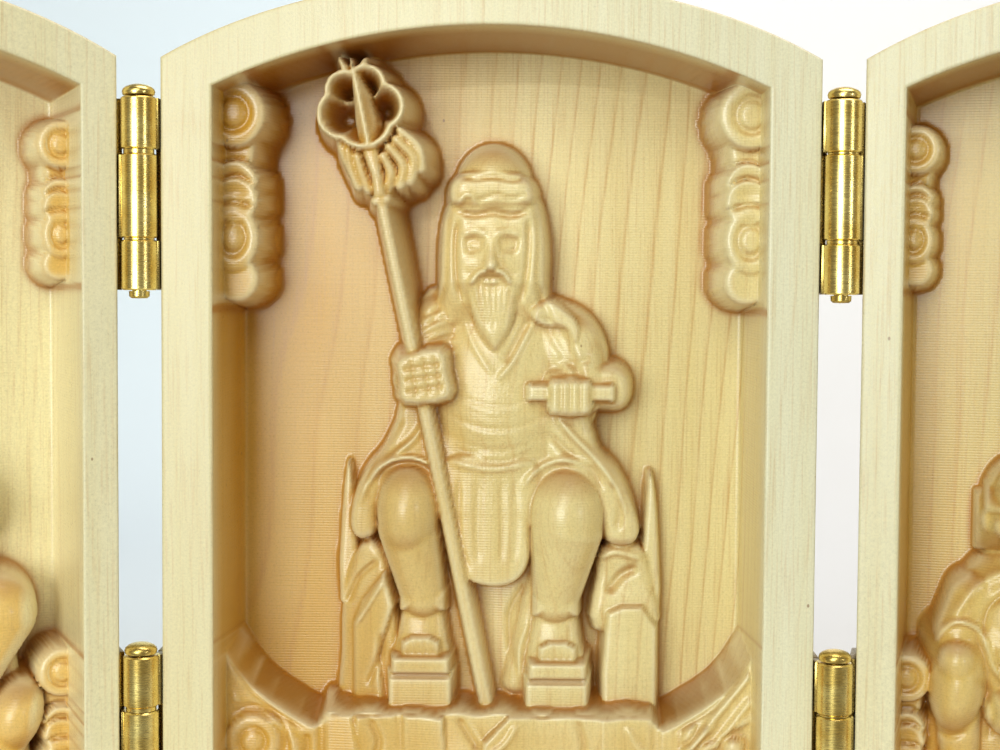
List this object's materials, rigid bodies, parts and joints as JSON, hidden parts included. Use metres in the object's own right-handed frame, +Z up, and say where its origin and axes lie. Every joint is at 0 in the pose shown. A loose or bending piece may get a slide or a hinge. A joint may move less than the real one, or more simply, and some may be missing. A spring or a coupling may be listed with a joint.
{
  "type": "folding shrine box",
  "caption": "Arched pocket shrine in carved pale wood: a centre panel with a seated ascetic in a deep niche and two hinged half-width wings that fold over it.",
  "frame": {"origin": "middle of the centre panel's underside", "axes": "+Z up, front towards -Y, +X along the width to the viewer's right"},
  "size_m": [0.1572, 0.0371, 0.0989],
  "materials": {
    "boxwood": "pale carved wood, satin",
    "brass": "polished, lightly scratched"
  },
  "bodies": {
    "centre": {"centre_panel": "boxwood", "left_lower_hinge_panel_leaf": "brass", "left_lower_hinge_pin": "brass", "left_lower_hinge_panel_nail_1": "brass", "left_lower_hinge_panel_nail_2": "brass", "left_upper_hinge_panel_leaf": "brass", "left_upper_hinge_pin": "brass", "left_upper_hinge_panel_nail_1": "brass", "left_upper_hinge_panel_nail_2": "brass", "right_lower_hinge_panel_leaf": "brass", "right_lower_hinge_pin": "brass", "right_lower_hinge_panel_nail_1": "brass", "right_lower_hinge_panel_nail_2": "brass", "right_upper_hinge_panel_leaf": "brass", "right_upper_hinge_pin": "brass", "right_upper_hinge_panel_nail_1": "brass", "right_upper_hinge_panel_nail_2": "brass"},
    "left_wing": {"left_wing": "boxwood", "left_lower_hinge_wing_leaf": "brass", "left_lower_hinge_wing_nail_1": "brass", "left_lower_hinge_wing_nail_2": "brass", "left_upper_hinge_wing_leaf": "brass", "left_upper_hinge_wing_nail_1": "brass", "left_upper_hinge_wing_nail_2": "brass"},
    "right_wing": {"right_wing": "boxwood", "right_lower_hinge_wing_leaf": "brass", "right_lower_hinge_wing_nail_1": "brass", "right_lower_hinge_wing_nail_2": "brass", "right_upper_hinge_wing_leaf": "brass", "right_upper_hinge_wing_nail_1": "brass", "right_upper_hinge_wing_nail_2": "brass"}
  },
  "joints": [
    {"name": "left_wing_fold", "type": "hinge", "parent": "centre", "child": "left_wing", "pos_m": [-0.0372, -0.0114, 0.05], "axis": [0, 0, 1], "range_deg": [-24, 156]},
    {"name": "right_wing_fold", "type": "hinge", "parent": "centre", "child": "right_wing", "pos_m": [0.0372, -0.0114, 0.05], "axis": [0, 0, -1], "range_deg": [-13.5, 166.5]}
  ]
}
